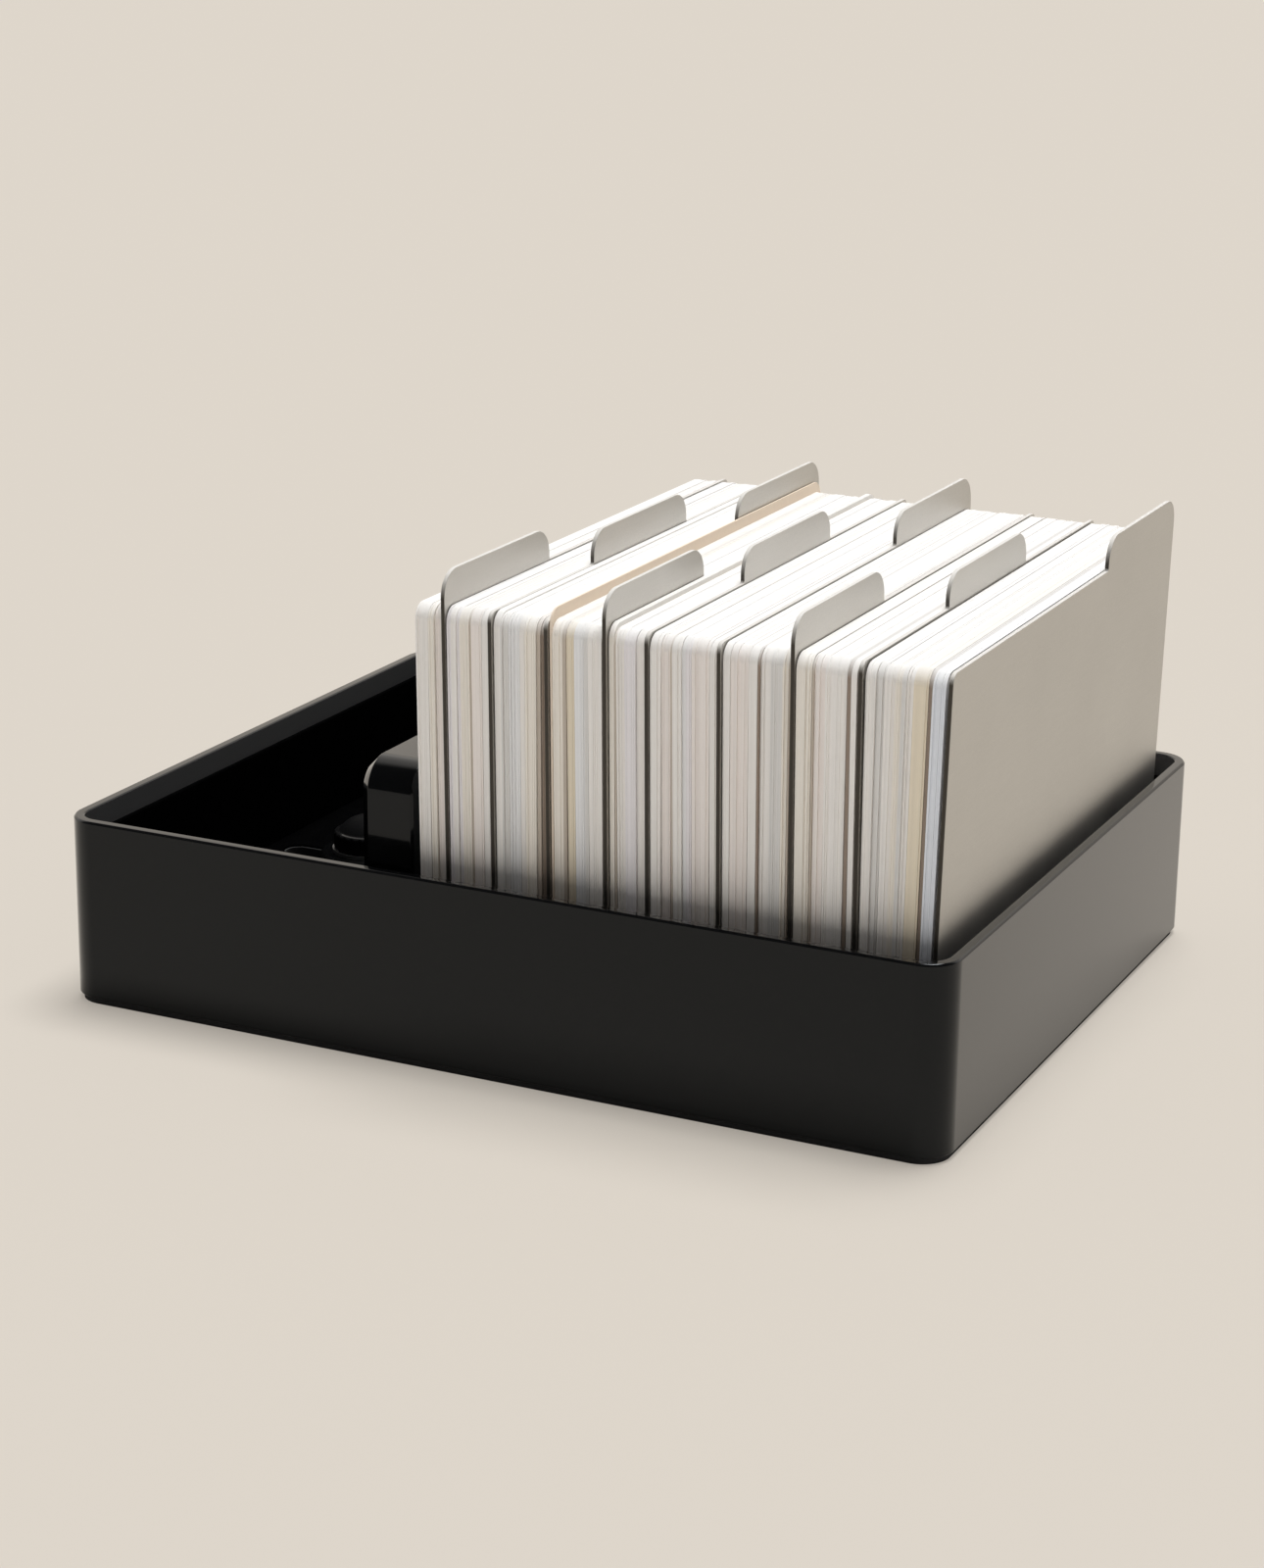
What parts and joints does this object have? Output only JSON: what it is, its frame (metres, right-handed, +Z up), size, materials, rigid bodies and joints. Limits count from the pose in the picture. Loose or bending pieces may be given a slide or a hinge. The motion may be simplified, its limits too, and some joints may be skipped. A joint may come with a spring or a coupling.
{
  "type": "index card box",
  "caption": "Shallow black metal tray for index cards, with a clamped sliding follower block, felt lining and tabbed steel dividers between packs of cards.",
  "frame": {"origin": "on the table under the middle of the tray", "axes": "+X along the tray from the follower to the last divider, +Y to the back, +Z up"},
  "size_m": [0.185, 0.1456, 0.0947],
  "materials": {
    "black_anodised": "satin black anodised",
    "black_painted": "matt black powder coat",
    "pad_rubber": "matt",
    "black_felt": "matt felt",
    "screw_steel": "zinc plated",
    "divider_steel": "bead blasted stainless",
    "card_paper": "uncoated card"
  },
  "bodies": {
    "tray": {"tray_frame": "black_anodised", "base_plate": "black_painted", "base_pad": "pad_rubber", "base_screws": "screw_steel", "floor_plate": "black_painted", "floor_screws": "screw_steel", "floor_liner": "black_felt", "wall_liner": "black_felt"},
    "follower": {"follower_block": "black_anodised", "follower_foot": "black_anodised", "foot_screws": "screw_steel", "slide_nut": "screw_steel", "clamp_stud": "screw_steel", "clamp_washer": "screw_steel"},
    "knob": {"clamp_knob": "black_anodised"},
    "cards_1": {"card_pack_1": "card_paper"},
    "sheet_1": {"divider_1": "divider_steel"},
    "cards_2": {"card_pack_2": "card_paper"},
    "sheet_2": {"divider_2": "divider_steel"},
    "cards_3": {"card_pack_3": "card_paper"},
    "sheet_3": {"divider_3": "divider_steel"},
    "cards_4": {"card_pack_4": "card_paper"},
    "sheet_4": {"divider_4": "divider_steel"},
    "cards_5": {"card_pack_5": "card_paper"},
    "sheet_5": {"divider_5": "divider_steel"},
    "cards_6": {"card_pack_6": "card_paper"},
    "sheet_6": {"divider_6": "divider_steel"},
    "cards_7": {"card_pack_7": "card_paper"},
    "sheet_7": {"divider_7": "divider_steel"},
    "cards_8": {"card_pack_8": "card_paper"},
    "sheet_8": {"divider_8": "divider_steel"},
    "cards_9": {"card_pack_9": "card_paper"},
    "sheet_9": {"divider_9": "divider_steel"}
  },
  "joints": [
    {"name": "follower_slide", "type": "slide", "parent": "tray", "child": "follower", "axis": [1, 0, 0], "range_m": [-0.0136, 0]},
    {"name": "knob_turn", "type": "hinge", "parent": "follower", "child": "knob", "pos_m": [-0.06535, 0, 0.01505], "axis": [0, 0, 1], "range_deg": [0, 360]},
    {"name": "cards_1_lift", "type": "slide", "parent": "tray", "child": "cards_1", "axis": [-0.0175, 0, 0.9998], "range_m": [0, 0.09]},
    {"name": "sheet_1_lift", "type": "slide", "parent": "tray", "child": "sheet_1", "axis": [-0.0175, 0, 0.9998], "range_m": [0, 0.09]},
    {"name": "cards_2_lift", "type": "slide", "parent": "tray", "child": "cards_2", "axis": [-0.0175, 0, 0.9998], "range_m": [0, 0.09]},
    {"name": "sheet_2_lift", "type": "slide", "parent": "tray", "child": "sheet_2", "axis": [-0.0175, 0, 0.9998], "range_m": [0, 0.09]},
    {"name": "cards_3_lift", "type": "slide", "parent": "tray", "child": "cards_3", "axis": [-0.0175, 0, 0.9998], "range_m": [0, 0.09]},
    {"name": "sheet_3_lift", "type": "slide", "parent": "tray", "child": "sheet_3", "axis": [-0.0175, 0, 0.9998], "range_m": [0, 0.09]},
    {"name": "cards_4_lift", "type": "slide", "parent": "tray", "child": "cards_4", "axis": [-0.0175, 0, 0.9998], "range_m": [0, 0.09]},
    {"name": "sheet_4_lift", "type": "slide", "parent": "tray", "child": "sheet_4", "axis": [-0.0174, 0, 0.9998], "range_m": [0, 0.09]},
    {"name": "cards_5_lift", "type": "slide", "parent": "tray", "child": "cards_5", "axis": [-0.0174, 0, 0.9998], "range_m": [0, 0.09]},
    {"name": "sheet_5_lift", "type": "slide", "parent": "tray", "child": "sheet_5", "axis": [-0.0174, 0, 0.9998], "range_m": [0, 0.09]},
    {"name": "cards_6_lift", "type": "slide", "parent": "tray", "child": "cards_6", "axis": [-0.0174, 0, 0.9998], "range_m": [0, 0.09]},
    {"name": "sheet_6_lift", "type": "slide", "parent": "tray", "child": "sheet_6", "axis": [-0.0172, 0, 0.9999], "range_m": [0, 0.09]},
    {"name": "cards_7_lift", "type": "slide", "parent": "tray", "child": "cards_7", "axis": [-0.0167, 0, 0.9999], "range_m": [0, 0.09]},
    {"name": "sheet_7_lift", "type": "slide", "parent": "tray", "child": "sheet_7", "axis": [-0.0157, 0, 0.9999], "range_m": [0, 0.09]},
    {"name": "cards_8_lift", "type": "slide", "parent": "tray", "child": "cards_8", "axis": [-0.0135, 0, 0.9999], "range_m": [0, 0.09]},
    {"name": "sheet_8_lift", "type": "slide", "parent": "tray", "child": "sheet_8", "axis": [-0.009, 0, 1], "range_m": [0, 0.09]},
    {"name": "cards_9_lift", "type": "slide", "parent": "tray", "child": "cards_9", "axis": [0.0001, 0, 1], "range_m": [0, 0.09]},
    {"name": "sheet_9_lift", "type": "slide", "parent": "tray", "child": "sheet_9", "axis": [0.0175, 0, 0.9998], "range_m": [0, 0.09]}
  ]
}
